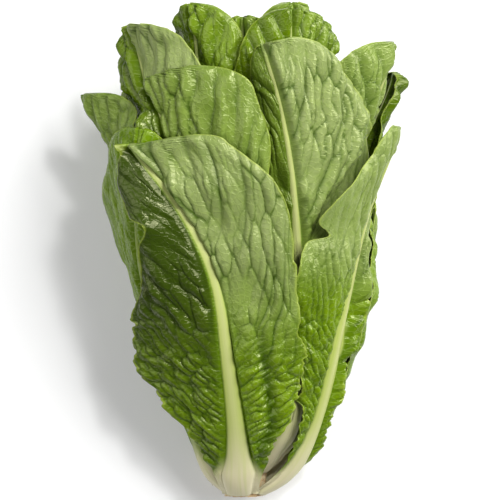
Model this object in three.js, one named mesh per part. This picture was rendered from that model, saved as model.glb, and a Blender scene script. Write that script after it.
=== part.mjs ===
// A romaine lettuce head lying on its back: a short cone of stem, and the leaves that grow from it.
//
// The head is built around its own axis, which runs along +Y from the cut end of the stem to the leaf
// tips. A place in the head is a height up that axis, a turn about it (0 faces +Z, 90 faces +X) and a
// radius. Every leaf is one sheet of radii over height and turn, so leaves can only lie inside or
// outside each other. They are laid from the heart outwards, and each one rests on those within.
// The finished head is then flattened the way its own weight flattens it on a table.

import * as THREE from "three";

// Driving dimensions, in millimetres.
const HEAD_WIDEST_RADIUS = 85;
const HEAD_WIDEST_HEIGHT = 220;
const HEAD_ROUNDNESS = 0.385; // how quickly the head fills out above the stem
const STEM_LENGTH = 78;
const STEM_CUT_RADIUS = 12;
const STEM_TOP_RADIUS = 2.5;
const BLADE_THICKNESS = 1.1;
const LEAF_GAP = 0.6; // air between one leaf and the next

// How the head lies: its depth beside its width, the height of its axis over the table, and how far
// the axis bows to the right above the stem.
const DEPTH_ABOVE = 0.64;
const DEPTH_BELOW = 0.5;
const AXIS_HEIGHT = 18;
const AXIS_SLOPE = 0.13;
const AXIS_BOW = 6.5;
const AXIS_BOW_HEIGHT = 45;

const DEGREES = Math.PI / 180;
const clamp = (x) => Math.min(Math.max(x, 0), 1);
const mix = (a, b, k) => a + (b - a) * k;
const smooth = (from, to, x) => {
  const k = clamp((x - from) / (to - from));
  return k * k * (3 - 2 * k);
};

// ---- The leaves, from the outermost to the innermost.
//
// foot and tip are the heights where a leaf leaves the stem and where its rib ends. turn is the rib's
// turn at the foot and at the tip, and lean is where up the leaf it starts to swing over, and how late.
// reach is its radius as a share of the head's, and flare what its tip adds. left and right are the
// half blades, each as its greatest width, or as its width at every tenth of the leaf's length. fold
// is how far each half is folded in at the rib, in degrees. point is how sharply the tip ends.
const LEAVES = [
  {
    name: "outer_leaf_front", foot: 2, tip: 207, turn: [-15, -43], lean: [0.5, 1.9], reach: 0.97, point: 1.5,
    left: [17, 26, 40, 47, 46, 41, 32, 24, 22], right: [17, 26, 36, 41, 42, 45, 50, 53, 42], fold: [34, 0],
  },
  { name: "outer_leaf_back_right", foot: 4, tip: 222, turn: [152, 158], reach: 0.98, left: 60, right: 58 },
  {
    name: "outer_leaf_right", foot: 3, tip: 218, turn: [52, 78], lean: [0, 1.5], reach: 0.99, flare: 9,
    left: [11, 16, 24, 33, 40, 45, 42, 36, 24], right: [14, 13, 11, 9, 8, 8, 8, 8, 6], fold: [0, 46],
  },
  { name: "outer_leaf_back_left", foot: 6, tip: 216, turn: [-148, -142], reach: 0.97, left: 60, right: 56 },
  {
    name: "outer_leaf_left", foot: 4, tip: 216, turn: [-70, -42], lean: [0, 1], reach: 0.96,
    left: [22, 24, 24, 24, 28, 36, 43, 43, 34], right: [16, 20, 24, 28, 30, 30, 28, 24, 18], fold: [-12, 0],
  },
  {
    name: "outer_leaf_right_side", foot: 8, tip: 184, turn: [112, 118], reach: 0.95,
    left: [15, 22, 32, 42, 46, 44, 36, 25, 15], right: 46, fold: [-14, 4],
  },
  {
    name: "middle_leaf_front_left", foot: 11, tip: 244, turn: [-22, -47], lean: [0, 2.5], reach: 0.85,
    left: [16, 24, 32, 36, 34, 30, 24, 18, 12], right: [16, 24, 30, 36, 39, 43, 51, 60, 60], fold: [36, 0],
  },
  { name: "middle_leaf_back", foot: 13, tip: 242, turn: [180, 172], reach: 0.84, left: 58, right: 58 },
  {
    name: "middle_leaf_front", foot: 16, tip: 263, turn: [36, 8], lean: [0, 2.8], reach: 0.79,
    left: [18, 28, 32, 36, 36, 34, 30, 25, 17], right: [16, 26, 34, 42, 50, 54, 55, 53, 42], fold: [44, 0],
  },
  {
    name: "middle_leaf_left", foot: 19, tip: 238, turn: [-78, -88], reach: 0.76, flare: 28,
    left: 30, right: [14, 20, 26, 32, 38, 46, 52, 56, 54], fold: [30, 34],
  },
  {
    name: "middle_leaf_back_right", foot: 22, tip: 252, turn: [122, 108], reach: 0.88, flare: 15,
    left: [14, 20, 26, 32, 34, 32, 28, 26, 22], right: 48,
  },
  {
    name: "middle_leaf_right", foot: 25, tip: 267, turn: [68, 77], reach: 0.86, flare: 11,
    left: 54, right: [10, 14, 18, 20, 20, 18, 16, 14, 10], fold: [34, 50],
  },
  {
    name: "inner_leaf_front_left", foot: 28, tip: 277, turn: [-34, -70], lean: [0.2, 1.7], reach: 0.75,
    left: [14, 22, 26, 30, 36, 42, 46, 44, 32], right: [14, 20, 26, 32, 38, 42, 44, 46, 40], fold: [-2, 2],
    point: 1,
  },
  { name: "middle_leaf_back_left", foot: 31, tip: 252, turn: [-138, -126], reach: 0.76, left: 50, right: 50 },
  {
    name: "inner_leaf_front_right", foot: 34, tip: 284, turn: [34, 29], reach: 0.6,
    left: 42, right: 52, fold: [10, 0],
  },
  { name: "inner_leaf_left", foot: 37, tip: 250, turn: [-84, -74], reach: 0.6, left: 42, right: 40 },
  { name: "inner_leaf_back", foot: 40, tip: 264, turn: [170, 164], reach: 0.58, left: 46, right: 46 },
  {
    name: "inner_leaf_top_left", foot: 43, tip: 288, turn: [-30, -42], reach: 0.48,
    left: 38, right: 40, fold: [8, 8],
  },
  {
    name: "inner_leaf_right", foot: 46, tip: 289, turn: [66, 42], reach: 0.42,
    left: 34, right: 38, fold: [8, 8],
  },
  {
    name: "inner_leaf_top", foot: 49, tip: 281, turn: [8, -2], reach: 0.34,
    left: 34, right: 34, fold: [12, 12],
  },
  { name: "heart_leaf_1", foot: 53, tip: 262, turn: [-110, -104], reach: 0.3, left: 34, right: 34 },
  { name: "heart_leaf_2", foot: 57, tip: 250, turn: [112, 106], reach: 0.25, left: 28, right: 28 },
  { name: "heart_leaf_3", foot: 61, tip: 240, turn: [-20, -14], reach: 0.17, left: 22, right: 22 },
  { name: "heart_leaf_4", foot: 65, tip: 226, turn: [170, 160], reach: 0.11, left: 15, right: 15 },
];

// The stations of a leaf's net of points: shares of its length up the rib, and shares of each half
// blade out from the rib's edge.
const BIG_ROWS = [0, 0.02, 0.05, 0.09, 0.15, 0.23, 0.33, 0.43, 0.53, 0.63, 0.72, 0.8, 0.88, 0.94, 0.985];
const SMALL_ROWS = [0, 0.04, 0.1, 0.19, 0.31, 0.44, 0.58, 0.71, 0.83, 0.92, 0.98];
const BIG_COLUMNS = [0, 0.33, 0.67, 1];
const SMALL_COLUMNS = [0, 0.5, 1];
const BIG_LEAVES = 14;

const headRadius = (height) =>
  HEAD_WIDEST_RADIUS * Math.pow(Math.max(height, 0.01) / HEAD_WIDEST_HEIGHT, HEAD_ROUNDNESS);
const stemRadius = (height) => mix(STEM_CUT_RADIUS, STEM_TOP_RADIUS, clamp(height / STEM_LENGTH));

// The rib is widest where it clasps the stem. It is thickest a little way up, and thins to the tip.
const ribHalfWidth = (share) => 1.5 + 9 * Math.exp(-share / 0.1) + 4.5 * (1 - share);
const ribThickness = (share) => 0.5 + 2 * (1 - share) + 55 * share * Math.exp(-share / 0.05);

// A half blade's width at each tenth of a leaf's length, as shares of its greatest width.
const BLADE_PROFILE = [0.3, 0.48, 0.62, 0.75, 0.87, 0.96, 1, 0.96, 0.76];

function bladeWidth(leaf, width, share) {
  const tenths = Array.isArray(width) ? width : BLADE_PROFILE.map((k) => k * width);
  const stations = [tenths[0] * 0.6, ...tenths];
  const k = Math.min(share * 10, 9);
  const low = Math.min(Math.floor(k), 8);
  const end = Math.pow(1 - Math.pow(clamp(share * 10 - 9), 2), leaf.point ?? 0.5);
  return mix(stations[low], stations[low + 1], k - low) * end;
}

// The radius that a leaf's rib would have if nothing lay under it.
function restRadius(leaf, height) {
  const foot = stemRadius(leaf.foot) + LEAF_GAP + BLADE_THICKNESS;
  const rise = 1 - Math.exp(-Math.max(height - leaf.foot, 0) / (2.5 + leaf.foot * 0.35));
  const opening = smooth(leaf.foot + 0.62 * (leaf.tip - leaf.foot), leaf.tip, height);
  const packing = mix(1.9, 1, smooth(20, 210, height)); // the leaves lie closest above the stem
  const full = Math.max(Math.pow(leaf.reach, packing) * headRadius(height), foot);
  return mix(foot, full, rise) + (leaf.flare ?? 0) * opening * opening;
}

// One leaf's net of points, each with its turn, height, radius and the rib's thickness there.
function leafNet(leaf, rows, columns) {
  const stations = [...columns].reverse().map((c) => [-1, c]);
  stations.push([0, 0], ...columns.map((c) => [1, c]));
  const length = leaf.tip - leaf.foot;
  const [start, power] = leaf.lean ?? [0, 1.5];
  const swung = (share) => Math.pow(clamp((share - start) / (1 - start)), power);
  const turnAt = (share) => mix(leaf.turn[0], leaf.turn[1], swung(share)) * DEGREES;
  return rows.map((share) => {
    const height = leaf.foot + length * share;
    const radius = restRadius(leaf, height);
    const swing = (turnAt(share + 0.01) - turnAt(share - 0.01)) / 0.02;
    const tilt = Math.atan2(radius * swing, length);
    return stations.map(([side, column]) => {
      const half = bladeWidth(leaf, side < 0 ? leaf.left : leaf.right, share);
      const edge = Math.min(ribHalfWidth(share), half * 0.7);
      const out = side === 0 ? 0 : mix(edge, half, column);
      const fold = (leaf.fold ?? [0, 0])[side < 0 ? 0 : 1] * DEGREES * smooth(0.25, 0.75, share);
      const along = side * out * Math.cos(fold);
      const y = Math.max(height - along * Math.sin(tilt), leaf.foot);
      return {
        turn: turnAt(share) + (along * Math.cos(tilt)) / radius,
        height: y,
        rest: restRadius(leaf, y),
        radius: Math.max(restRadius(leaf, y) - out * Math.sin(fold), 4),
        rib: side === 0 ? ribThickness(share) * leaf.reach : 0,
      };
    });
  });
}

// ---- Between the head's own turn, height and radius and the head as it lies on a table.
const axisBow = (height) =>
  AXIS_BOW * (height / AXIS_BOW_HEIGHT) * Math.exp(1 - height / AXIS_BOW_HEIGHT);
const axisHeight = (height) => AXIS_HEIGHT + AXIS_SLOPE * height;

function lying(turn, height, radius) {
  const up = radius * Math.cos(turn);
  return new THREE.Vector3(
    radius * Math.sin(turn) + axisBow(height),
    height,
    axisHeight(height) + up * (up > 0 ? DEPTH_ABOVE : DEPTH_BELOW),
  );
}

function upright(point) {
  const aside = point.x - axisBow(point.y);
  const above = point.z - axisHeight(point.y);
  const up = above / (above > 0 ? DEPTH_ABOVE : DEPTH_BELOW);
  return { turn: Math.atan2(aside, up), radius: Math.hypot(aside, up) };
}

// ---- The crowd: for each turn and height, the outermost radius that the leaves laid so far reach.
const TURN_CELLS = 240;
const HEIGHT_CELL = 1.5;
const HEIGHT_CELLS = 220;
const SAMPLE_STEP = 1.2;
const SETTLING_ROUNDS = 14;

const crowd = new Float32Array(TURN_CELLS * HEIGHT_CELLS);
for (let j = 0; j < HEIGHT_CELLS; j++)
  for (let i = 0; i < TURN_CELLS; i++)
    crowd[j * TURN_CELLS + i] = j * HEIGHT_CELL < STEM_LENGTH + 1 ? stemRadius(j * HEIGHT_CELL) : 0;

const cellAt = (turn, height) => {
  const i = Math.floor((turn / (2 * Math.PI)) * TURN_CELLS + TURN_CELLS) % TURN_CELLS;
  const j = Math.min(Math.max(Math.floor(height / HEIGHT_CELL), 0), HEIGHT_CELLS - 1);
  return j * TURN_CELLS + i;
};

// Visits closely spaced places on the flat triangles of a net, with their corners' shares in each.
const place = new THREE.Vector3();
function overNet(net, offset, visit) {
  const points = net.map((row) => row.map((p) => lying(p.turn, p.height, p.radius + offset(p))));
  const overTriangle = (corners) => {
    const [a, b, c] = corners.map(([j, i]) => points[j][i]);
    const longest = Math.max(a.distanceTo(b), b.distanceTo(c), c.distanceTo(a));
    const steps = Math.max(Math.ceil(longest / SAMPLE_STEP), 3);
    for (let u = 0; u <= steps; u++)
      for (let v = 0; u + v <= steps; v++) {
        const shares = [u / steps, v / steps, (steps - u - v) / steps];
        place.copy(a).multiplyScalar(shares[0]).addScaledVector(b, shares[1]).addScaledVector(c, shares[2]);
        const { turn, radius } = upright(place);
        visit(cellAt(turn, place.y), radius, corners, shares);
      }
  };
  for (let j = 0; j + 1 < net.length; j++)
    for (let i = 0; i + 1 < net[j].length; i++) {
      overTriangle([[j, i], [j, i + 1], [j + 1, i + 1]]);
      overTriangle([[j, i], [j + 1, i + 1], [j + 1, i]]);
    }
}

const outerFace = (p) => BLADE_THICKNESS / 2 + p.rib;
const innerFace = () => -BLADE_THICKNESS / 2;

// Raises the points of a leaf until no place on its inner face sinks into the crowd.
function raiseLeaf(net) {
  const lift = net.map((row) => row.map(() => 0));
  overNet(net, innerFace, (cell, radius, corners, shares) => {
    const sunk = crowd[cell] > 0 ? crowd[cell] + LEAF_GAP - radius : 0;
    if (sunk <= 0) return;
    const total = shares.reduce((sum, k) => sum + k * k, 0);
    corners.forEach(([j, i], n) => (lift[j][i] = Math.max(lift[j][i], (sunk * shares[n]) / total)));
  });
  net.forEach((row, j) => row.forEach((p, i) => (p.radius += lift[j][i])));
}

// Lets each point of a leaf be drawn out by its neighbours, so that a raised leaf stays smooth.
function evenLeaf(net) {
  const raised = net.map((row) => row.map((p) => Math.max(p.radius - p.rest, 0)));
  net.forEach((row, j) =>
    row.forEach((p, i) => {
      const near = [[j - 1, i], [j + 1, i], [j, i - 1], [j, i + 1]]
        .filter(([a, b]) => a >= 0 && a < net.length && b >= 0 && b < row.length)
        .map(([a, b]) => raised[a][b]);
      const mean = near.reduce((sum, k) => sum + k, 0) / near.length;
      p.radius += 0.5 * Math.max(mean - raised[j][i], 0);
    }),
  );
}

// Lays a leaf on the crowd, and adds it to the crowd.
function layLeaf(net) {
  for (let round = 0; round < SETTLING_ROUNDS; round++) {
    raiseLeaf(net);
    if (round < 3) evenLeaf(net);
  }
  const added = new Float32Array(crowd.length);
  overNet(net, outerFace, (cell, radius) => (added[cell] = Math.max(added[cell], radius)));
  for (let cell = 0; cell < crowd.length; cell++) {
    const [j, i] = [Math.floor(cell / TURN_CELLS), cell % TURN_CELLS];
    for (let dj = -1; dj <= 1; dj++)
      for (let di = -1; di <= 1; di++) {
        const row = Math.min(Math.max(j + dj, 0), HEIGHT_CELLS - 1);
        const near = added[row * TURN_CELLS + ((i + di + TURN_CELLS) % TURN_CELLS)];
        crowd[cell] = Math.max(crowd[cell], near);
      }
  }
}

// Closes two nets of points, one outside the other, into a solid.
function shellGeometry(outside, inside) {
  const rows = outside.length;
  const columns = outside[0].length;
  const at = (net, j, i) => net * rows * columns + j * columns + i;
  const faces = [];
  const quad = (a, b, c, d) => faces.push(a, b, c, a, c, d);
  for (let j = 0; j + 1 < rows; j++)
    for (let i = 0; i + 1 < columns; i++) {
      quad(at(0, j, i), at(0, j, i + 1), at(0, j + 1, i + 1), at(0, j + 1, i));
      faces.push(at(1, j, i), at(1, j + 1, i + 1), at(1, j, i + 1));
      faces.push(at(1, j, i), at(1, j + 1, i), at(1, j + 1, i + 1));
    }
  for (let j = 0; j + 1 < rows; j++) {
    quad(at(0, j, 0), at(0, j + 1, 0), at(1, j + 1, 0), at(1, j, 0));
    quad(at(0, j, columns - 1), at(1, j, columns - 1), at(1, j + 1, columns - 1), at(0, j + 1, columns - 1));
  }
  for (let i = 0; i + 1 < columns; i++) {
    quad(at(0, 0, i), at(1, 0, i), at(1, 0, i + 1), at(0, 0, i + 1));
    quad(at(0, rows - 1, i), at(0, rows - 1, i + 1), at(1, rows - 1, i + 1), at(1, rows - 1, i));
  }
  return new THREE.BufferGeometry().setFromPoints([...outside.flat(), ...inside.flat()]).setIndex(faces);
}

function leafGeometry(net) {
  const layer = (offset) => net.map((row) => row.map((p) => lying(p.turn, p.height, p.radius + offset(p))));
  return shellGeometry(layer(outerFace), layer(innerFace));
}

// The stem is a short cone, cut flat at its foot, with a small bud at its top.
function stemGeometry() {
  const profile = [new THREE.Vector2(0, 0)];
  profile.push(new THREE.Vector2(STEM_CUT_RADIUS - 1, 0), new THREE.Vector2(STEM_CUT_RADIUS - 0.3, 1));
  for (let k = 1; k <= 5; k++) {
    const height = (STEM_LENGTH * k) / 6;
    profile.push(new THREE.Vector2(stemRadius(height) - 0.3, height));
  }
  profile.push(new THREE.Vector2(0, STEM_LENGTH));
  const geometry = new THREE.LatheGeometry(profile, 20);
  const places = geometry.getAttribute("position");
  for (let k = 0; k < places.count; k++) {
    const [x, height, z] = [places.getX(k), places.getY(k), places.getZ(k)];
    places.setXYZ(k, ...lying(Math.atan2(x, z), height, Math.hypot(x, z)));
  }
  return geometry;
}

const OUTER_GREEN = new THREE.MeshStandardMaterial({ color: 0x6f8a2c, roughness: 0.45, metalness: 0 });
const INNER_GREEN = new THREE.MeshStandardMaterial({ color: 0x9cb04e, roughness: 0.45, metalness: 0 });
const STEM_WHITE = new THREE.MeshStandardMaterial({ color: 0xd8d2b4, roughness: 0.55, metalness: 0 });

const head = new THREE.Group();
const addPart = (name, geometry, material) => {
  const mesh = new THREE.Mesh(geometry, material);
  mesh.name = name;
  head.add(mesh);
};

addPart("stem", stemGeometry(), STEM_WHITE);
for (let n = LEAVES.length - 1; n >= 0; n--) {
  const big = n < BIG_LEAVES;
  const net = leafNet(LEAVES[n], big ? BIG_ROWS : SMALL_ROWS, big ? BIG_COLUMNS : SMALL_COLUMNS);
  layLeaf(net);
  addPart(LEAVES[n].name, leafGeometry(net), big ? OUTER_GREEN : INNER_GREEN);
}

// The origin is under the middle of the head, on the table.
const box = new THREE.Box3().setFromObject(head);
const centre = box.getCenter(new THREE.Vector3());
head.position.set(-centre.x, -centre.y, -box.min.z);

const part = new THREE.Group();
part.add(head);

export default part;
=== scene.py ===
import math

import bpy
import numpy as np
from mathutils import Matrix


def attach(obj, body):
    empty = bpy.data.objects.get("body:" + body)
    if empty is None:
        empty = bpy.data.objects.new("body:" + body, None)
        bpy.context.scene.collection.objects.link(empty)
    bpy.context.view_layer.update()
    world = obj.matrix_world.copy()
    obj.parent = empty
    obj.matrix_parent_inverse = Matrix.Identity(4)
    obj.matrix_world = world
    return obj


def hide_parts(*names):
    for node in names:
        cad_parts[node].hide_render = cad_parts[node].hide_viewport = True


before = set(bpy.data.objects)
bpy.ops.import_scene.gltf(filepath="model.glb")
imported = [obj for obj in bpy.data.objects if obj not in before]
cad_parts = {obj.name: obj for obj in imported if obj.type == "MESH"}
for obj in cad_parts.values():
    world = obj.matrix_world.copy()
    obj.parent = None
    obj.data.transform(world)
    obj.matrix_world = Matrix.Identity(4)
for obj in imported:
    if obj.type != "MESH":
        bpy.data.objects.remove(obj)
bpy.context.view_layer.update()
scene = bpy.context.scene


# ---- The stem: the short cone that every leaf grows from. Its cut end is the one place where it shows,
# wet and creamy, with a rusty rind where the cut has dried. Turned as a cone, its end dished and roughened.

MM = 0.001


def deselect_all():
    for each in bpy.context.selected_objects:
        each.select_set(False)


def linear(red, green, blue):
    """A screen colour, 0 to 255, as the linear colour a shader works in."""

    def channel(c):
        share = c / 255
        return share / 12.92 if share <= 0.04 else ((share + 0.055) / 1.055) ** 2.4

    return tuple(channel(c) for c in (red, green, blue))


class Tree:
    """The node tree of one material, built through one method."""

    def __init__(self, name):
        self.material = bpy.data.materials.new(name)
        self.material.use_nodes = True
        self.nodes = self.material.node_tree.nodes
        self.links = self.material.node_tree.links
        self.nodes.clear()

    def feed(self, socket, value):
        """Gives a socket a number, a colour, a Value or another socket's link."""
        if isinstance(value, Value):
            value = value.socket
        if isinstance(value, bpy.types.NodeSocket):
            self.links.new(value, socket)
        else:
            socket.default_value = value

    def node(self, kind, settings=None, inputs=None):
        made = self.nodes.new(kind)
        for key, value in (settings or {}).items():
            setattr(made, key, value)
        for key, value in (inputs or {}).items():
            self.feed(made.inputs[key], value)
        return made

    def value(self, kind, output, settings=None, inputs=None):
        return Value(self, self.node(kind, settings, inputs).outputs[output])

    def attribute(self, name):
        return self.value("ShaderNodeAttribute", "Fac", {"attribute_name": name})

    def blend(self, share, first, second):
        """A colour between two, by a share from 0 to 1."""
        made = self.node("ShaderNodeMix", {"data_type": "RGBA"})
        self.feed(made.inputs[0], share)
        for socket, colour in ((made.inputs[6], first), (made.inputs[7], second)):
            self.feed(socket, (*colour, 1) if isinstance(colour, tuple) else colour)
        return made.outputs[2]

    def finish(self, shader):
        self.node("ShaderNodeOutputMaterial", None, {"Surface": shader})
        return self.material


class Value:
    """A number that a socket gives. Sums on it add Math nodes."""

    def __init__(self, tree, socket):
        self.tree = tree
        self.socket = socket

    def sum(self, operation, *terms):
        made = self.tree.node("ShaderNodeMath", {"operation": operation})
        for socket, term in zip(made.inputs, terms):
            self.tree.feed(socket, term)
        return Value(self.tree, made.outputs[0])

    def __add__(self, other):
        return self.sum("ADD", self, other)

    def __sub__(self, other):
        return self.sum("SUBTRACT", self, other)

    def __mul__(self, other):
        return self.sum("MULTIPLY", self, other)

    def __rsub__(self, other):
        return self.sum("SUBTRACT", other, self)

    __radd__ = __add__
    __rmul__ = __mul__

    def clamp(self):
        return self.sum("MINIMUM", self.sum("MAXIMUM", self, 0.0), 1.0)

    def between(self, low, high):
        """0 below low, 1 above high, and smooth from one to the other."""
        return self.tree.value(
            "ShaderNodeMapRange", "Result",
            {"interpolation_type": "SMOOTHSTEP"},
            {"Value": self, "From Min": low, "From Max": high},
        )


stem_points = np.array([v.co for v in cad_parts["stem"].data.vertices]) / MM
cut_end = stem_points[stem_points[:, 1] < stem_points[:, 1].min() + 0.2]

STEM_CUT_RADIUS = 12.0
STEM_TOP_RADIUS = 2.5
STEM_LENGTH = 78.0
DEPTH_ABOVE = 0.64
DEPTH_BELOW = 0.5
AXIS_HEIGHT = 18.0
AXIS_SLOPE = 0.13
AXIS_BOW = 6.5
AXIS_BOW_HEIGHT = 45.0
HEAD_X = (cut_end[:, 0].min() + cut_end[:, 0].max()) / 2
HEAD_Y = stem_points[:, 1].min()
HEAD_Z = cut_end[:, 2].max() - AXIS_HEIGHT - (STEM_CUT_RADIUS - 1) * DEPTH_ABOVE


def axis_bow(height):
    return AXIS_BOW * (height / AXIS_BOW_HEIGHT) * np.exp(1 - height / AXIS_BOW_HEIGHT)


def lying(turn, height, radius):
    """Places in the frame, in metres, from turns, heights and radii about the head's own axis."""
    up = radius * np.cos(turn)
    x = radius * np.sin(turn) + axis_bow(height) + HEAD_X
    z = AXIS_HEIGHT + AXIS_SLOPE * height + up * np.where(up > 0, DEPTH_ABOVE, DEPTH_BELOW) + HEAD_Z
    return np.stack([x, height + HEAD_Y, z], axis=-1) * MM


def stem_radius(height):
    share = np.clip(height / STEM_LENGTH, 0, 1)
    return STEM_CUT_RADIUS + (STEM_TOP_RADIUS - STEM_CUT_RADIUS) * share


deselect_all()
bpy.ops.mesh.primitive_cylinder_add(vertices=96, radius=1, depth=1, end_fill_type="TRIFAN")
stem = bpy.context.object
stem.name = "CutStem"
bpy.ops.object.mode_set(mode="EDIT")
bpy.ops.mesh.select_all(action="SELECT")
bpy.ops.mesh.subdivide(number_cuts=9)
bpy.ops.object.mode_set(mode="OBJECT")
spots = np.empty(len(stem.data.vertices) * 3)
stem.data.vertices.foreach_get("co", spots)
spots = spots.reshape(-1, 3)
around = np.arctan2(spots[:, 1], spots[:, 0])
share = np.clip(np.hypot(spots[:, 0], spots[:, 1]), 0, 1)
height = (spots[:, 2] + 0.5) * STEM_LENGTH
ragged = 0.25 * np.sin(around * 7 + 1) + 0.18 * np.sin(around * 17) + 0.1 * np.sin(around * 31 + share * 9)
dish = np.where(spots[:, 2] < -0.499, (1 - share**4) * 0.9 + ragged * 0.5 * share, 0)
stem_reach = (stem_radius(height) - 0.4) * share * (1 + 0.012 * ragged)
stem.data.vertices.foreach_set("co", lying(around, height + dish, stem_reach).ravel())
stem.data.update()
bpy.ops.object.mode_set(mode="EDIT")
bpy.ops.mesh.select_all(action="SELECT")
bpy.ops.mesh.normals_make_consistent(inside=False)
bpy.ops.object.mode_set(mode="OBJECT")
bpy.ops.object.shade_smooth_by_angle(angle=math.radians(50))

tree = Tree("Cut stem")
place = tree.value("ShaderNodeTexCoord", "Object")
blotch = tree.value("ShaderNodeTexNoise", "Fac", None, {"Vector": place, "Scale": 260.0, "Detail": 5.0})
grain = tree.value("ShaderNodeTexNoise", "Fac", None, {"Vector": place, "Scale": 1400.0, "Detail": 3.0})
flesh = tree.blend(blotch.between(0.42, 0.62), linear(222, 205, 165), linear(196, 160, 112))
flesh = tree.blend(grain.between(0.5, 0.7) * 0.5, flesh, linear(168, 120, 78))
bump = tree.node("ShaderNodeBump", None, {"Strength": 0.5, "Distance": 0.0006, "Height": grain + blotch})
stem.data.materials.append(
    tree.finish(
        tree.node(
            "ShaderNodeBsdfPrincipled", None,
            {"Base Color": flesh, "Roughness": 0.48, "Normal": bump.outputs[0]},
        ).outputs[0]
    )
)
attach(stem, "root")
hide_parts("stem")


# ---- The leaves: thin green blades on broad pale ribs, one to a node, quilted between their veins.
# Each is a flat sheet first, drawn over the leaves within it, crumpled, and given its thickness last.

HEAD_WIDEST_RADIUS = 85.0
HEAD_WIDEST_HEIGHT = 220.0
HEAD_ROUNDNESS = 0.385
CAD_BLADE = 1.1  # the thickness of the solids' blades
CAD_GAP = 0.6
BLADE = 0.55
THICKEST = 9.0  # the thickness that a full vertex weight stands for
SETTLED = 1.0  # how far each finished sheet sinks toward the leaf under it
RIB_SHARE = 0.2  # how much of the sheet's columns the rib takes
BIG_LEAVES = 14  # how many of the outermost leaves have the finer net of solid points
BIG_ROWS = [0, 0.02, 0.05, 0.09, 0.15, 0.23, 0.33, 0.43, 0.53, 0.63, 0.72, 0.8, 0.88, 0.94, 0.985]
SMALL_ROWS = [0, 0.04, 0.1, 0.19, 0.31, 0.44, 0.58, 0.71, 0.83, 0.92, 0.98]
BIG_COLUMNS = [0, 0.33, 0.67, 1]
SMALL_COLUMNS = [0, 0.5, 1]
BLADE_PROFILE = [0.3, 0.48, 0.62, 0.75, 0.87, 0.96, 1, 0.96, 0.76]

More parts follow.
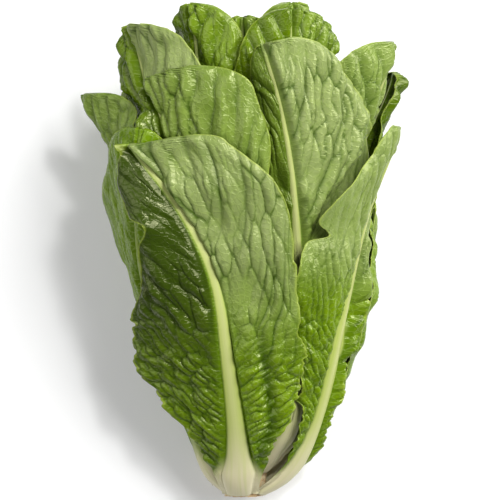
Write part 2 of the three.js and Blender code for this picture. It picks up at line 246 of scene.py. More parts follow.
# The leaves from the outermost in. foot and tip are the heights of a leaf's ends, and turn where its rib
# stands round the head at each, in degrees. lean is from which share of its length the rib turns, and how
# suddenly. reach is its place between the axis and the outside, flare how far its top opens, point how
# slender its tip is, and fold how far its left and right halves bend in at the rib. left and right are the
# half widths at each tenth of its length, or the widest one where the outline is the common one.
LEAVES = [
    dict(
        name="outer_leaf_front", foot=2, tip=207, turn=(-15, -43), lean=(0.5, 1.9), reach=0.97, point=1.5,
        fold=(34, 0), left=[17, 26, 40, 47, 46, 41, 32, 24, 22], right=[17, 26, 36, 41, 42, 45, 50, 53, 42],
    ),
    dict(name="outer_leaf_back_right", foot=4, tip=222, turn=(152, 158), reach=0.98, left=60, right=58),
    dict(
        name="outer_leaf_right", foot=3, tip=218, turn=(52, 78), lean=(0, 1.5), reach=0.99, flare=9,
        fold=(0, 46), left=[11, 16, 24, 33, 40, 45, 42, 36, 24], right=[14, 13, 11, 9, 8, 8, 8, 8, 6],
    ),
    dict(name="outer_leaf_back_left", foot=6, tip=216, turn=(-148, -142), reach=0.97, left=60, right=56),
    dict(
        name="outer_leaf_left", foot=4, tip=216, turn=(-70, -42), lean=(0, 1), reach=0.96, fold=(-12, 0),
        left=[22, 24, 24, 24, 28, 36, 43, 43, 34], right=[16, 20, 24, 28, 30, 30, 28, 24, 18],
    ),
    dict(
        name="outer_leaf_right_side", foot=8, tip=184, turn=(112, 118), reach=0.95, fold=(-14, 4),
        left=[15, 22, 32, 42, 46, 44, 36, 25, 15], right=46,
    ),
    dict(
        name="middle_leaf_front_left", foot=11, tip=244, turn=(-22, -47), lean=(0, 2.5), reach=0.85,
        fold=(36, 0), left=[16, 24, 32, 36, 34, 30, 24, 18, 12], right=[16, 24, 30, 36, 39, 43, 51, 60, 60],
    ),
    dict(name="middle_leaf_back", foot=13, tip=242, turn=(180, 172), reach=0.84, left=58, right=58),
    dict(
        name="middle_leaf_front", foot=16, tip=263, turn=(36, 8), lean=(0, 2.8), reach=0.79, fold=(44, 0),
        left=[18, 28, 32, 36, 36, 34, 30, 25, 17], right=[16, 26, 34, 42, 50, 54, 55, 53, 42],
    ),
    dict(
        name="middle_leaf_left", foot=19, tip=238, turn=(-78, -88), reach=0.76, flare=28, fold=(30, 34),
        left=30, right=[14, 20, 26, 32, 38, 46, 52, 56, 54],
    ),
    dict(
        name="middle_leaf_back_right", foot=22, tip=252, turn=(122, 108), reach=0.88, flare=15,
        left=[14, 20, 26, 32, 34, 32, 28, 26, 22], right=48,
    ),
    dict(
        name="middle_leaf_right", foot=25, tip=267, turn=(68, 77), reach=0.86, flare=11, fold=(34, 50),
        left=54, right=[10, 14, 18, 20, 20, 18, 16, 14, 10],
    ),
    dict(
        name="inner_leaf_front_left", foot=28, tip=277, turn=(-34, -70), lean=(0.2, 1.7), reach=0.75,
        point=1, fold=(-2, 2),
        left=[14, 22, 26, 30, 36, 42, 46, 44, 32], right=[14, 20, 26, 32, 38, 42, 44, 46, 40],
    ),
    dict(
        name="middle_leaf_back_left", foot=31, tip=252, turn=(-138, -126), reach=0.76,
        left=50, right=50,
    ),
    dict(
        name="inner_leaf_front_right", foot=34, tip=284, turn=(34, 29), reach=0.6, fold=(10, 0),
        left=42, right=52,
    ),
    dict(name="inner_leaf_left", foot=37, tip=250, turn=(-84, -74), reach=0.6, left=42, right=40),
    dict(name="inner_leaf_back", foot=40, tip=264, turn=(170, 164), reach=0.58, left=46, right=46),
    dict(
        name="inner_leaf_top_left", foot=43, tip=288, turn=(-30, -42), reach=0.48, fold=(8, 8),
        left=38, right=40,
    ),
    dict(
        name="inner_leaf_right", foot=46, tip=289, turn=(66, 42), reach=0.42, fold=(8, 8),
        left=34, right=38,
    ),
    dict(
        name="inner_leaf_top", foot=49, tip=281, turn=(8, -2), reach=0.34, fold=(12, 12),
        left=34, right=34,
    ),
    dict(name="heart_leaf_1", foot=53, tip=262, turn=(-110, -104), reach=0.3, left=34, right=34),
    dict(name="heart_leaf_2", foot=57, tip=250, turn=(112, 106), reach=0.25, left=28, right=28),
    dict(name="heart_leaf_3", foot=61, tip=240, turn=(-20, -14), reach=0.17, left=22, right=22),
    dict(name="heart_leaf_4", foot=65, tip=226, turn=(170, 160), reach=0.11, left=15, right=15),
]

# The surface of each leaf. rows and columns are how fine its sheet is. These have one value for the left
# half and one for the right: the wax pair is how pale with wax a half is, set higher on the half that
# faces the light and so partly painted light; the shade pair is how dark a half is, which is painted shade
# on a half turned from the light; extra how much wider it is, calm how much smoother its upper part is,
# and sweep how steeply its low veins climb. waxed is where along the leaf the wax sets in. ruffle is how
# far the margins wave, quilt how deep the quilting is, tight how far up the narrow corrugation goes, lobes
# how far the halves curl out, rib_wide how broad the upper rib is, ribbed how pale the rib is, and furrow
# how far out from the rib a furrow lies. A notch is a side, a share of the length, a depth and a width.
PLAIN_SKIN = dict(
    rows=140, columns=81, wax_and_light=(0.2, 0.3), waxed=(0.36, 0.72), half_shade=(0, 0), extra=(0, 0), calm=(0, 0),
    sweep=(0.6, 0.6), ruffle=2.0, quilt=1.0, tight=0.3, lobes=0, rib_wide=1.0, ribbed=1.0, furrow=0,
    notches=(),
)
SKINS = {
    "outer_leaf_front": dict(
        rows=270, columns=171, wax_and_light=(0.2, 1.0), half_shade=(0.95, 0.1), calm=(0.6, 0), sweep=(0.9, 0.35),
        ruffle=2.6, tight=0.45, furrow=21.0, notches=((-1, 0.79, 9, 6), (-1, 0.5, 3, 2)),
    ),
    "outer_leaf_right": dict(
        rows=250, columns=141, wax_and_light=(1.0, 1.0), waxed=(0.5, 0.68), extra=(5, 8), calm=(0.55, 0.55),
        ruffle=3.0, quilt=0.8, tight=0.55, rib_wide=2.1, notches=((-1, 0.68, 13, 3.5),),
    ),
    "middle_leaf_front": dict(
        rows=262, columns=161, wax_and_light=(0.2, 1.0), half_shade=(0.45, 0), ruffle=1.6, tight=0.58,
    ),
    "middle_leaf_front_left": dict(rows=230, columns=131, wax_and_light=(0.1, 0.45), half_shade=(0.5, 0.1), quilt=1.15),
    "outer_leaf_left": dict(
        rows=200, columns=111, wax_and_light=(0, 0), quilt=0.3, tight=0.15, ribbed=0.3, notches=((-1, 0.6, 7, 9),),
    ),
    "outer_leaf_right_side": dict(
        rows=190, columns=121, wax_and_light=(0.3, 0.5), quilt=0.6, tight=0.2, lobes=5.0,
        notches=((-1, 0.56, 6, 3), (-1, 0.4, 11, 6)),
    ),
    "inner_leaf_front_left": dict(
        rows=210, columns=121, wax_and_light=(0, 1.3), half_shade=(0.25, 0), ruffle=1.6, quilt=0.8,
    ),
    "middle_leaf_left": dict(rows=190, columns=91, wax_and_light=(0.3, 0.5), ruffle=1.8, quilt=0.5),
    "middle_leaf_right": dict(rows=200, columns=111, wax_and_light=(0.6, 0.8), ruffle=1.2, quilt=0.7),
    "inner_leaf_front_right": dict(rows=210, columns=131, wax_and_light=(0, 0.15), half_shade=(0.3, 0.1), ruffle=2.2),
    "inner_leaf_top_left": dict(rows=200, columns=121, wax_and_light=(0, 0.1), half_shade=(0.3, 0.1), ruffle=2.2),
    "middle_leaf_back_right": dict(rows=160, columns=91, wax_and_light=(0, 0), half_shade=(0.5, 0.5)),
    "outer_leaf_back_right": dict(rows=170, columns=111, wax_and_light=(0.5, 0.6)),
    "outer_leaf_back_left": dict(rows=170, columns=111, wax_and_light=(0.5, 0.6)),
}

# Sizes of the relief in millimetres. Each pair is a width across the veins and a length along them.
LOW_VEIN_SPACING = 4.4
HIGH_VEIN_SPACING = 23.4
STEEPEST_VEIN = 1.6  # how far a vein near the tip climbs for each step outward
DOME = (14.0, 17.0)
SMALL_DOME = (6.0, 6.5)
BLISTER = (2.8, 9.0)
WRINKLE = (1.5, 7.0)
FURROW_WIDTH = 4.0
FURROW_SHOULDER = 15.0


def smooth(low, high, x):
    k = np.clip((x - low) / (high - low), 0, 1)
    return k * k * (3 - 2 * k)


def by_side(side, pair):
    """The left one of a pair on the left half of a leaf, and the right one on the right half."""
    return np.where(side < 0, *pair)


def scatter(i, j, seed):
    """A number from 0 to 1 for each corner of a lattice, the same every time."""
    n = np.sin(i * 127.1 + j * 311.7 + seed * 74.7) * 43758.5453
    return n - np.floor(n)


def noise(x, y, seed):
    """Smooth noise, from -1 to 1, with features about 1 across."""
    i, j = np.floor(x), np.floor(y)
    u, v = x - i, y - j
    u, v = u * u * (3 - 2 * u), v * v * (3 - 2 * v)
    low = scatter(i, j, seed) * (1 - u) + scatter(i + 1, j, seed) * u
    high = scatter(i, j + 1, seed) * (1 - u) + scatter(i + 1, j + 1, seed) * u
    return 2 * (low * (1 - v) + high * v) - 1


def cells(x, y, seed):
    """Distances to the nearest two of a field of scattered points, about 1 apart."""
    i, j = np.floor(x), np.floor(y)
    first = np.full(x.shape, 9.0)
    second = np.full(x.shape, 9.0)
    for a in (-1, 0, 1):
        for b in (-1, 0, 1):
            px = i + a + 0.15 + 0.7 * scatter(i + a, j + b, seed)
            py = j + b + 0.15 + 0.7 * scatter(i + a, j + b, seed + 3)
            gap = np.hypot(px - x, py - y)
            second = np.minimum(second, np.maximum(first, gap))
            first = np.minimum(first, gap)
    return first, second


def head_radius(height):
    return HEAD_WIDEST_RADIUS * (np.maximum(height, 0.01) / HEAD_WIDEST_HEIGHT) ** HEAD_ROUNDNESS


def rib_half_width(share):
    return 1.5 + 9 * np.exp(-share / 0.1) + 4.5 * (1 - share)


def rib_thickness(share):
    return 0.5 + 2 * (1 - share) + 55 * share * np.exp(-share / 0.05)


def blade_width(leaf, width, share, rounded):
    """The width of a half blade, straight between its stations as the solids have it, or rounded."""
    tenths = width if isinstance(width, list) else [k * width for k in BLADE_PROFILE]
    stations = np.array([tenths[0] * 0.6, *tenths])
    k = np.minimum(share * 10, 9)
    end = (1 - np.clip(share * 10 - 9, 0, 1) ** 2) ** leaf.get("point", 0.5)
    if not rounded:
        return np.interp(k, np.arange(10), stations) * end
    padded = np.array([2 * stations[0] - stations[1], *stations, 2 * stations[9] - stations[8]])
    low = np.minimum(np.floor(k), 8).astype(int)
    f = k - low
    a, b, c, d = (padded[low + n] for n in range(4))
    return (b + 0.5 * f * (c - a + f * (2 * a - 5 * b + 4 * c - d + f * (3 * (b - c) + d - a)))) * end


def rest_radius(leaf, height):
    foot = stem_radius(leaf["foot"]) + CAD_GAP + CAD_BLADE
    rise = 1 - np.exp(-np.maximum(height - leaf["foot"], 0) / (2.5 + leaf["foot"] * 0.35))
    opening = smooth(leaf["foot"] + 0.62 * (leaf["tip"] - leaf["foot"]), leaf["tip"], height)
    packing = 1.9 - 0.9 * smooth(20, 210, height)
    full = np.maximum(leaf["reach"] ** packing * head_radius(height), foot)
    return foot + (full - foot) * rise + leaf.get("flare", 0) * opening**2


def leaf_sheet(leaf, share, across, rounded=False, ragged=0):
    """Turns, heights and radii of a leaf's sheet, and each place's distance from the rib's middle."""
    length = leaf["tip"] - leaf["foot"]

    def turn_at(k):
        start, power = leaf.get("lean", (0, 1.5))
        k = np.clip((k - start) / (1 - start), 0, 1) ** power
        return np.radians(leaf["turn"][0] + (leaf["turn"][1] - leaf["turn"][0]) * k)

    height = leaf["foot"] + length * share
    radius = rest_radius(leaf, height)
    tilt = np.arctan2(radius * (turn_at(share + 0.01) - turn_at(share - 0.01)) / 0.02, length)
    half = by_side(across, [blade_width(leaf, leaf[key], share, rounded) for key in ("left", "right")])
    edge = np.minimum(rib_half_width(share), half * 0.7)
    column = np.clip((np.abs(across) - RIB_SHARE) / (1 - RIB_SHARE), 0, 1)
    beside_rib = edge + (half - edge) * column
    out = np.where(np.abs(across) < RIB_SHARE, edge * np.abs(across) / RIB_SHARE, beside_rib)
    out = out + np.maximum(ragged, -0.45 * (half - edge)) * column**2
    fold = np.radians(by_side(across, leaf.get("fold", (0, 0)))) * smooth(0.25, 0.75, share)
    along = by_side(across, (-1, 1)) * out * np.cos(fold)
    y = np.maximum(height - along * np.sin(tilt), leaf["foot"])
    turn = turn_at(share) + along * np.cos(tilt) / radius
    r = np.maximum(rest_radius(leaf, y) - out * np.sin(fold), 4)
    return turn, y, r, out, half, edge


def solid_lift(leaf, rows, columns):
    """How far the solid leaf was raised off its free shape, at each point of its net."""
    net_across = [-(RIB_SHARE + (1 - RIB_SHARE) * c) for c in reversed(columns)]
    net_across += [0] + [RIB_SHARE + (1 - RIB_SHARE) * c for c in columns]
    share, across = np.meshgrid(rows, net_across, indexing="ij")
    turn, y, r, *_ = leaf_sheet(leaf, share.astype(float), across.astype(float))
    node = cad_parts[leaf["name"]]
    spots = np.empty(len(node.data.vertices) * 3)
    node.data.vertices.foreach_get("co", spots)
    spots = np.unique(np.round(spots.reshape(-1, 3) / MM - (HEAD_X, HEAD_Y, HEAD_Z), 3), axis=0)
    aside = spots[:, 0] - axis_bow(spots[:, 1])
    up = spots[:, 2] - AXIS_HEIGHT - AXIS_SLOPE * spots[:, 1]
    up = up / np.where(up > 0, DEPTH_ABOVE, DEPTH_BELOW)
    solid_turn, solid_r = np.arctan2(aside, up), np.hypot(aside, up)
    lift = np.zeros(r.shape)
    for j in range(r.shape[0]):
        for i in range(r.shape[1]):
            apart = np.remainder(solid_turn - turn[j, i] + math.pi, 2 * math.pi) - math.pi
            gap = np.hypot(apart * solid_r, spots[:, 1] - y[j, i])
            near = gap < 0.15
            found = solid_r[near].min() if near.any() else solid_r[np.argsort(gap)[:2]].min()
            lift[j, i] = found + CAD_BLADE / 2 - r[j, i]
    return lift, net_across


def follow(stations, values, x):
    """A smooth curve through values at uneven stations, one row of values for each x."""
    stations = np.asarray(stations, float)
    n = len(stations)
    low = np.clip(np.searchsorted(stations, x, side="right") - 1, 0, n - 2)
    h = stations[low + 1] - stations[low]
    f = np.clip((x - stations[low]) / h, 0, 1)
    slopes = np.gradient(values, stations, axis=0)
    v0, v1, m0, m1 = values[low], values[low + 1], slopes[low], slopes[low + 1]
    f, h = f[:, None], h[:, None]
    return (
        (1 + 2 * f) * (1 - f) ** 2 * v0
        + f * (1 - f) ** 2 * h * m0
        + f * f * (3 - 2 * f) * v1
        + f * f * (f - 1) * h * m1
    )


def side_veins(leaf, skin, out, side, share, half, loose, seed):
    """The side veins leave the rib in turn and sweep up to the margin. Each is a crease, and the blade
    swells between them: narrow and even beside the foot of the rib, broad and uneven farther up."""
    length = leaf["tip"] - leaf["foot"]
    v = share * length
    key = seed * 17.0 + side * 5.0
    start = by_side(side, skin["sweep"])
    slant = start + (STEEPEST_VEIN - start) * smooth(0.1, 0.75, share)
    wander = (1.0 + 7.5 * loose) * noise(out / 26, v / 34, key)
    wander = wander + (0.5 + 2.4 * loose) * noise(out / 9, v / 11, key + 2)
    origin = v - slant * out - 0.004 * out**2 + wander
    steps = np.linspace(-200, 320, 1400)
    widening = smooth((skin["tight"] - 0.28) * length, (skin["tight"] + 0.04) * length, steps)
    spacing = LOW_VEIN_SPACING + (HIGH_VEIN_SPACING - LOW_VEIN_SPACING) * widening
    spacing = spacing * (1 + 0.3 * noise(steps / 23, np.zeros(steps.shape), seed * 17.0))
    count = np.cumsum((steps[1] - steps[0]) / spacing)
    phase = np.interp(origin, steps, count) + 0.37 * side + seed * 0.61
    gap = np.interp(origin, steps, spacing) / np.hypot(1, slant)
    panel = np.floor(phase)
    p = phase - panel
    vein = np.where(p > 0.5, panel + 1, panel)
    strength = 0.55 + 0.95 * noise(out / 13, vein * 3.7, key + 5) + 0.25 * (1 - loose)
    weaker = 0.6 * smooth(0.7, 0.95, out / np.maximum(half, 1)) * loose
    strength = np.clip(strength, 0.05, 1) * (1 - weaker)
    from_crease = np.minimum(p, 1 - p) * gap
    swell = (1 - np.exp(-from_crease / (0.25 * gap + 0.4))) * (0.3 + 0.7 * strength)
    # Painted shade: the creases are darkened, and each swelling darkens toward the crease on one side of
    # it.
    crease_shade = np.exp(-((from_crease / (0.55 + 0.6 * loose)) ** 2)) * strength
    shade = np.exp(-p * gap / (0.8 + 2.4 * loose)) * strength
    return origin, slant, swell, np.maximum(crease_shade, 0.7 * shade)


def quilting(leaf, skin, out, side, share, seed, half, edge):
    """The relief of a leaf's back in millimetres, with a mask of painted shade for its creases and hollows,
    and a mask of its swellings, which are painted lighter.
    """
    v = share * (leaf["tip"] - leaf["foot"])
    key = seed * 17.0 + side * 5.0
    upper = share + 0.1 * noise(out / 20, v / 20, key + 20)
    loose = smooth(skin["tight"] - 0.14, skin["tight"] + 0.14, upper)
    origin, slant, swell, hollow_shade = side_veins(leaf, skin, out, side, share, half, loose, seed)

    # Farther up, cross veins close the swellings into long domed cells, each with finer cells on it.
    along_vein = out * np.hypot(1, slant) + 40 * side
    bent = origin + 4.0 * noise(out / 10, v / 10, key + 3) + 1.2 * noise(out / 4, v / 4, key + 15)
    first, second = cells(bent / DOME[0], along_vein / DOME[1], key + 11)
    ditch = second - first
    depth = smooth(-0.95, 0.3, noise(out / 17, v / 17, key + 12))
    ditch_shade = np.exp(-((ditch / 0.12) ** 2)) * depth
    dome = 0.8 * (1 - np.exp(-ditch / 0.16)) * (0.2 + 0.8 * depth) + np.clip(1 - first**2, 0, 1)
    first, second = cells(bent / SMALL_DOME[0] + 3, along_vein / SMALL_DOME[1], key + 13)
    small_dome = 1 - np.exp(-(second - first) / 0.2)
    small_depth = smooth(-0.3, 0.6, noise(out / 9, v / 9, key + 14))

    # The lower blade is crumpled into thin shiny ridges, drawn out along the veins; their crests are
    # glossier and also painted lighter.
    lean = by_side(side, skin["sweep"]) + 0.25
    u = (out + lean * v) / np.hypot(1, lean)
    w = (v - lean * out) / np.hypot(1, lean) + 1.5 * noise(out / 12, v / 12, key + 7)
    puff = np.abs(noise(u / BLISTER[1], w / BLISTER[0], key + 6))
    wrinkle = np.abs(noise(u / WRINKLE[1], w / WRINKLE[0], key + 8))
    crumple = smooth(4, 15, out) * (1 - loose)

    # A furrow runs up beside the rib, between two low shoulders.
    trough = skin["furrow"] * (0.45 + 0.55 * smooth(0.05, 0.25, share))
    low_right = (side > 0) * smooth(0.52, 0.4, share) * (skin["furrow"] > 0)
    furrow = np.exp(-(((out - trough) / FURROW_WIDTH) ** 2)) * low_right
    shoulder = 4.5 * np.exp(-(((out - trough) / FURROW_SHOULDER) ** 2)) * low_right + 0.5

    height = (2.2 + 3.4 * loose) * swell * (1 - 0.6 * crumple)
    height = height + loose * ((0.5 + 2.2 * depth) * dome + 1.0 * small_dome * small_depth)
    height = height + (1 - loose) * (2.2 * np.sqrt(wrinkle) + (0.3 + 4.6 * crumple) * np.sqrt(puff))
    height = height + (0.6 + 1.6 * loose) * noise(out / 19, v / 19, key + 9)
    height = height + shoulder * (1 - furrow)
    height = height + skin["lobes"] * (1 + 0.4 * np.sin(2 * math.pi * v / 27)) * smooth(6, 34, out)

    fade = smooth(0, 2, out - edge) * smooth(0.04, 0.14, share) * skin["quilt"]
    flat_margin = 1 - 0.6 * smooth(0.84, 1, out / np.maximum(half, 1)) * loose
    # Painted shade: the creases, the ditches between cells, the hollows between ridges and the furrow are
    # gathered into one darkening mask.
    hollow_shade = np.maximum(hollow_shade, ditch_shade * loose) + 0.2 * (1 - small_dome) * small_depth * loose
    gulf_shade = (0.95 * np.exp(-puff / 0.1) + 0.6 * np.exp(-wrinkle / 0.12)) * crumple
    hollow_shade = np.clip(np.maximum(np.maximum(hollow_shade, gulf_shade), 0.95 * furrow), 0, 1)
    swollen = np.clip(loose * dome / 1.6 + 1.4 * np.sqrt(puff) * crumple, 0, 1)
    return height * fade * flat_margin, hollow_shade * np.minimum(fade * 1.3, 1), swollen * fade


# The crowd map holds how far out the leaves laid so far reach, round the head and up it.
TURN_CELLS = 360
HEIGHT_CELLS = 310
LEAST_GAP = 0.12  # between a leaf and the leaves within it
crowd = np.zeros((HEIGHT_CELLS, TURN_CELLS))
heights = np.arange(HEIGHT_CELLS) + 0.5
crowd[heights < STEM_LENGTH] = stem_radius(heights[heights < STEM_LENGTH])[:, None]


def spread(grid, how):
    """Each cell with its eight neighbours, taken together by how."""
    rows = [np.vstack([grid[:1], grid[:-1]]), grid, np.vstack([grid[1:], grid[-1:]])]
    return how([np.roll(row, k, axis=1) for row in rows for k in (-1, 0, 1)], axis=0)


def crowded_to(turn, height):
    """The radius that the leaves laid so far fill, smoothed, at each place."""
    floor = np.maximum(spread(spread(crowd, np.max), np.mean), crowd)
    x = np.remainder(turn / (2 * math.pi) * TURN_CELLS - 0.5, TURN_CELLS)
    y = np.clip(height - 0.5, 0, HEIGHT_CELLS - 1.001)
    i, j = np.floor(x).astype(int), np.floor(y).astype(int)
    u, w = x - i, y - j
    near = (i + 1) % TURN_CELLS
    low = floor[j, i] * (1 - u) + floor[j, near] * u
    high = floor[j + 1, i] * (1 - u) + floor[j + 1, near] * u
    return low * (1 - w) + high * w


def join_crowd(turn, height, radius):
    added = np.zeros(crowd.shape)
    i = np.floor(turn / (2 * math.pi) * TURN_CELLS).astype(int) % TURN_CELLS
    j = np.clip(np.floor(height).astype(int), 0, HEIGHT_CELLS - 1)
    np.maximum.at(added, (j, i), radius)
    holes = added == 0
    added[holes] = spread(added, np.max)[holes]
    np.maximum(crowd, added, out=crowd)


# A coarser map holds the number of the outermost leaf at each place.
HIDING_TURNS = 180
HIDING_HEIGHTS = 155
HIDING_CELL = 2.0  # the height of a cell in millimetres
outermost = np.full((HIDING_HEIGHTS, HIDING_TURNS), len(LEAVES))


def hiding_cell(turn, height):
    i = np.floor(turn / (2 * math.pi) * HIDING_TURNS).astype(int) % HIDING_TURNS
    return np.clip(np.floor(height / HIDING_CELL).astype(int), 0, HIDING_HEIGHTS - 1), i


for number, leaf in enumerate(LEAVES):
    share, across = np.meshgrid(np.linspace(0, 0.985, 160), np.linspace(-0.95, 0.95, 110), indexing="ij")
    turn, height, *_ = leaf_sheet(leaf, share, across, True)
    np.minimum.at(outermost, hiding_cell(turn, height), number)


def hidden(number, turn, height):
    """How far each place of a leaf is covered by the leaves outside it, 0 or 1 and soft between."""
    covered = spread((outermost < number).astype(float), np.min)
    covered = spread(spread(covered, np.mean), np.mean)
    return covered[hiding_cell(turn, height)]


def ragged_margin(skin, share, side, length, number):
    """How far the margin runs out past its smooth outline: bumps, teeth low down, and notches."""
    far = share * length
    ragged = 2.0 * noise(far / 24, side * 3.3, number) + 0.6 * noise(far / 9, side * 7.7, number + 40)
    teeth = 1.3 * noise(far / 5, side * 5.1, number + 60) + 1.0 * noise(far / 2.0, side * 9.1, number + 80)
    ragged = ragged + teeth * smooth(0.06, 0.15, share) * (1 - 0.9 * smooth(0.4, 0.65, share))
    widened = smooth(0.3, 0.45, share) * smooth(0.85, 0.7, share)
    ragged = ragged + by_side(side, skin["extra"]) * widened
    for notch_side, notch_share, depth, breadth in skin["notches"]:
        notch = depth * np.exp(-(((share - notch_share) * length / breadth) ** 2))
        ragged = ragged - notch * (side == notch_side)
    return ragged


def margin_wave(skin, share, side, length, outward, number):
    """How far the ruffled margin waves in and out, with finer waves that are strongest low down."""
    far = share * length
    fine = 0.9 * noise(far / 8, side * 4.0, number + 11) * (1 - 0.7 * smooth(0.45, 0.7, share))
    wave = 1.6 * noise(far / 21, side * 2.0, number + 9) + fine
    return wave * skin["ruffle"] * outward**3 * smooth(0.12, 0.3, share)


def leaf_masks(skin, share, side, length, out, edge, rib_out):
    """Where the rib, its pale foot, the margin, the wax (thicker on halves facing the light, so partly
    painted light) and the painted shade of halves turned from the light are, from 0 to 1.
    """
    far = share * length
    near_rib = np.maximum(out / np.maximum(edge, 1), 0)
    rim = by_side(side, (out[:, :1], out[:, -1:]))
    rib_fade = (1 - 0.2 * smooth(0.5, 0.9, share)) * smooth(1.0, 0.93, share)
    pale_foot = 1 - smooth(4, 50, far) * (0.7 + 0.3 * smooth(0, 1, near_rib))
    darker_up = 0.45 + 0.55 * smooth(0.25, 0.65, share)
    return dict(
        rib=smooth(1.0, 0.72, rib_out) * rib_fade * skin["ribbed"],
        foot=pale_foot * (1 - smooth(0.9, 2.0, near_rib) * smooth(4, 26, far)),
        margin=smooth(1.4, 0.3, rim - out) * smooth(0.1, 0.25, share),
        bloom_and_light=by_side(side, skin["wax_and_light"]) * smooth(*skin["waxed"], share),
        half_shade=by_side(side, skin["half_shade"]) * darker_up * smooth(0.9, 1.3, rib_out),
    )


def speckle(tree, place, scale, detail):
    inputs = {"Vector": place, "Scale": scale, "Detail": detail}
    return tree.value("ShaderNodeTexNoise", "Fac", None, inputs)


def leaf_skin(name, number):
    """Green blade and pale rib, with painted shade in the creases and on halves turned from the light,
    painted light on the swellings, and greyer where the wax is thick, which is laid on more where the light
    falls.
    """
    tree = Tree(name)
    uv = tree.node("ShaderNodeUVMap", {"uv_map": "UVMap"}).outputs[0]
    rib, foot, crease_shade = tree.attribute("rib"), tree.attribute("foot"), tree.attribute("crease_shade")
    bulge, margin, bloom_and_light = tree.attribute("bulge"), tree.attribute("margin"), tree.attribute("bloom_and_light")
    half_shade = tree.attribute("half_shade")
    patch = speckle(tree, uv, 12.0 + number * 0.3, 3.0)
    speck = speckle(tree, uv, 170.0, 3.0)
    mottle = speckle(tree, uv, 60.0, 2.0)
    cell = tree.value(
        "ShaderNodeTexVoronoi", "Distance", {"feature": "DISTANCE_TO_EDGE"}, {"Vector": uv, "Scale": 105.0}
    )
    veinlet = 1 - cell.between(0.0, 0.12)
    green = tree.blend(patch.between(0.35, 0.65), linear(80, 110, 0), linear(98, 128, 0))
    # Painted highlight: the swellings are painted a lighter green.
    green = tree.blend(bulge * 0.5, green, linear(122, 150, 8))
    # Pale greyish wax, laid on more thickly on the halves that face the light, so partly painted light.
    wax_and_light_here = (bloom_and_light * (0.2 + mottle * 0.7 + bulge * 0.55)).clamp()
    green = tree.blend(wax_and_light_here, green, linear(134, 149, 88))
    green = tree.blend(veinlet * 0.2, green, linear(150, 172, 80))
    # Painted shade: the creases and hollows are darkened.
    green = tree.blend(crease_shade * 0.9, green, linear(48, 76, 0))
    green = tree.blend(speck.between(0.45, 0.75) * 0.15, green, linear(84, 112, 8))
    # Painted shade on the halves turned from the light, darker farther up the leaf.
    green = tree.blend(half_shade, green, linear(40, 58, 0))
    green = tree.blend(margin * 0.45, green, linear(160, 178, 66))
    drawn_out = tree.node("ShaderNodeMapping", None, {"Vector": uv, "Scale": (180.0, 7.0, 1.0)})
    streak = speckle(tree, drawn_out.outputs[0], 1.0, 3.0)
    pale = tree.blend(foot, linear(160, 174, 84), linear(206, 198, 164))
    pale = tree.blend(streak.between(0.4, 0.7) * 0.3, pale, linear(176, 186, 106))
    blanch = foot.between(0.5, 0.98)
    colour = tree.blend((rib + blanch).clamp(), green, pale)
    pebbles = (mottle * 0.5 + speck * 0.25 + veinlet * 0.16) * (1 - rib)
    pebbled = tree.node(
        "ShaderNodeBump", None, {"Strength": 0.8, "Distance": 0.0008, "Height": pebbles}
    ).outputs[0]
    bump = tree.node(
        "ShaderNodeBump", None,
        {"Strength": 0.25, "Distance": 0.0006, "Height": streak * rib, "Normal": pebbled},
    ).outputs[0]
    shader = tree.node(
        "ShaderNodeBsdfPrincipled", None,
        {
            "Base Color": colour,
            "Roughness": 0.25 - bulge * 0.05 + bloom_and_light * 0.08 + rib * 0.14,
            "Specular IOR Level": 0.45,
            "Specular Tint": (1, 1, 0.62, 1),
            "Normal": bump,
        },
    )
    return tree.finish(shader.outputs[0])


CHART = 300  # millimetres of leaf across the whole chart
LAST_SHARE = 0.9993  # the sheet stops just short of the tip, where its columns would meet
OFF_TABLE = 0.1  # the least gap between a leaf and the table

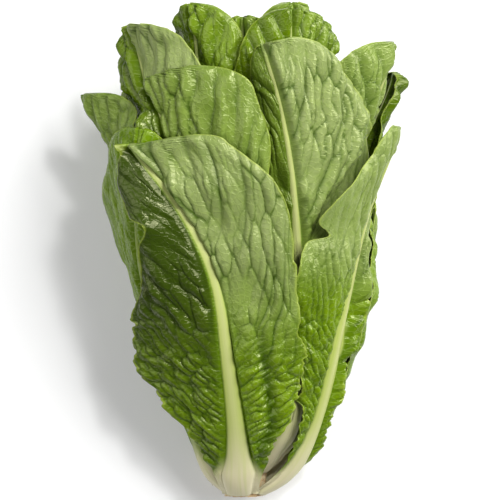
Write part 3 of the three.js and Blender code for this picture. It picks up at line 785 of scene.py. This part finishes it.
for number in reversed(range(len(LEAVES))):
    leaf = LEAVES[number]
    skin = {**PLAIN_SKIN, **SKINS.get(leaf["name"], {})}
    net_rows = BIG_ROWS if number < BIG_LEAVES else SMALL_ROWS
    net_columns = BIG_COLUMNS if number < BIG_LEAVES else SMALL_COLUMNS
    lift, net_across = solid_lift(leaf, net_rows, net_columns)
    rows, columns = skin["rows"], skin["columns"]
    along = np.minimum(np.linspace(0, 1, rows), LAST_SHARE)
    width = np.linspace(-1, 1, columns)
    share, across = np.meshgrid(along, width, indexing="ij")
    side = by_side(across, (-1, 1))
    length = leaf["tip"] - leaf["foot"]
    ragged = ragged_margin(skin, share, side, length, number)
    turn, height, radius, out, half, edge = leaf_sheet(leaf, share, across, True, ragged)
    lift = follow(net_across, follow(net_rows, lift, along).T, width).T

    broad = 1 + (skin["rib_wide"] - 1) * smooth(0.2, 0.5, share)
    rib_reach = edge * broad * (1 - 0.35 * smooth(0.3, 0.8, share))
    quilt_from = np.maximum(rib_reach, 0.7 * edge)
    relief, crease_shade, bulge = quilting(leaf, skin, out, side, share, number + 1, half, quilt_from)
    stirred = 1 - by_side(side, skin["calm"]) * smooth(0.55, 0.75, share)
    outward = np.clip(out / np.maximum(half, 1), 0, 1.2)
    wave = margin_wave(skin, share, side, length, outward, number)
    covered = hidden(number, turn, height)
    radius = radius + lift + (relief * stirred + wave) * (1 - 0.85 * covered)
    radius = radius - SETTLED - covered * np.clip(lift, 0, 2.5)

    rib_out = out / np.maximum(rib_reach, 0.5)
    rib_round = np.sqrt(np.clip(1 - rib_out**2, 0, 1))
    rib_edge = smooth(1.0, 0.75, rib_out)
    thickness = BLADE + rib_thickness(share) * leaf["reach"] * rib_round * (0.35 + 0.65 * rib_edge)
    inner = np.maximum(radius - CAD_BLADE / 2, crowded_to(turn, height) + LEAST_GAP)
    join_crowd(turn, height, inner + thickness)

    deselect_all()
    bpy.ops.mesh.primitive_grid_add(x_subdivisions=columns - 1, y_subdivisions=rows - 1, size=2)
    blade = bpy.context.object
    blade.name = leaf["name"].title().replace("_", "")
    mesh = blade.data
    flat = np.empty(len(mesh.vertices) * 3)
    mesh.vertices.foreach_get("co", flat)
    flat = flat.reshape(-1, 3)
    i = np.rint((flat[:, 0] + 1) / 2 * (columns - 1)).astype(int)
    j = np.rint((flat[:, 1] + 1) / 2 * (rows - 1)).astype(int)
    spots = lying(turn, height, inner)
    spots[..., 2] = np.maximum(spots[..., 2], (thickness + OFF_TABLE) * MM)
    mesh.vertices.foreach_set("co", spots[j, i].ravel())

    masks = leaf_masks(skin, share, side, length, out, edge, rib_out)
    masks["crease_shade"] = crease_shade * stirred
    masks["bulge"] = np.clip(bulge * stirred, 0, 1)
    for key, mask in masks.items():
        shades = mesh.attributes.new(key, "FLOAT", "POINT")
        shades.data.foreach_set("value", mask[j, i].astype(np.float32))
    corners = np.empty(len(mesh.loops), np.int32)
    mesh.loops.foreach_get("vertex_index", corners)
    chart = np.stack([side * out / CHART + 0.5, share * length / CHART], axis=-1)
    mesh.uv_layers["UVMap"].data.foreach_set("uv", chart[j, i][corners].ravel())
    mesh.update()
    thick = blade.vertex_groups.new(name="thickness")
    weights = np.round((thickness / THICKEST)[j, i], 3)
    for level in np.unique(weights):
        thick.add(np.nonzero(weights == level)[0].tolist(), float(level), "REPLACE")

    solidify = blade.modifiers.new("Thickness", "SOLIDIFY")
    solidify.thickness = THICKEST * MM
    solidify.offset = 1.0
    solidify.vertex_group = "thickness"
    solidify.use_quality_normals = True
    bpy.ops.object.modifier_apply(modifier="Thickness")
    bpy.ops.object.shade_smooth()
    blade.data.materials.append(leaf_skin(blade.name, number))
    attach(blade, "root")
    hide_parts(leaf["name"])


# ---- The table: a plain pale surface that the head lies on.

deselect_all()
bpy.ops.mesh.primitive_plane_add(size=6, location=(0, 0, 0))
table = bpy.context.object
table.name = "Table"
tree = Tree("Pale table")
pale = {"Base Color": (0.9, 0.9, 0.9, 1), "Roughness": 0.8}
table.data.materials.append(tree.finish(tree.node("ShaderNodeBsdfPrincipled", None, pale).outputs[0]))


# ---- Soft light from a big lamp over the right shoulder, with a small one beside it that sharpens the
# shadow and a weaker one opposite, in a pale room, and a long lens straight above the head.

for name, place, size, power in (
    ("Main lamp", (0.95, 0.55, 1.1), 1.1, 31.5),
    ("Small lamp", (0.5, 0.75, 1.2), 0.14, 6),
    ("Fill lamp", (-0.9, 0.1, 1.3), 1.4, 13),
):
    deselect_all()
    bpy.ops.object.light_add(type="AREA", location=place)
    lamp = bpy.context.object
    lamp.name = name
    lamp.data.size = size
    lamp.data.energy = power
    lamp.rotation_euler = (-lamp.location).to_track_quat("-Z", "Y").to_euler()

world = bpy.data.worlds.new("Pale room")
scene.world = world
world.use_nodes = True
backdrop = world.node_tree.nodes["Background"].inputs
backdrop["Color"].default_value = (1, 1, 1, 1)
backdrop["Strength"].default_value = 0.16

CAMERA_HEIGHT = 1.28
deselect_all()
above_middle = (HEAD_X * MM + 0.0038, HEAD_Y * MM + 0.1472, CAMERA_HEIGHT)
bpy.ops.object.camera_add(location=above_middle, rotation=(0, 0, 0))
camera = bpy.context.object
camera.data.lens = 151.5
camera.data.sensor_width = 36
scene.camera = camera
scene.view_settings.view_transform = "Standard"
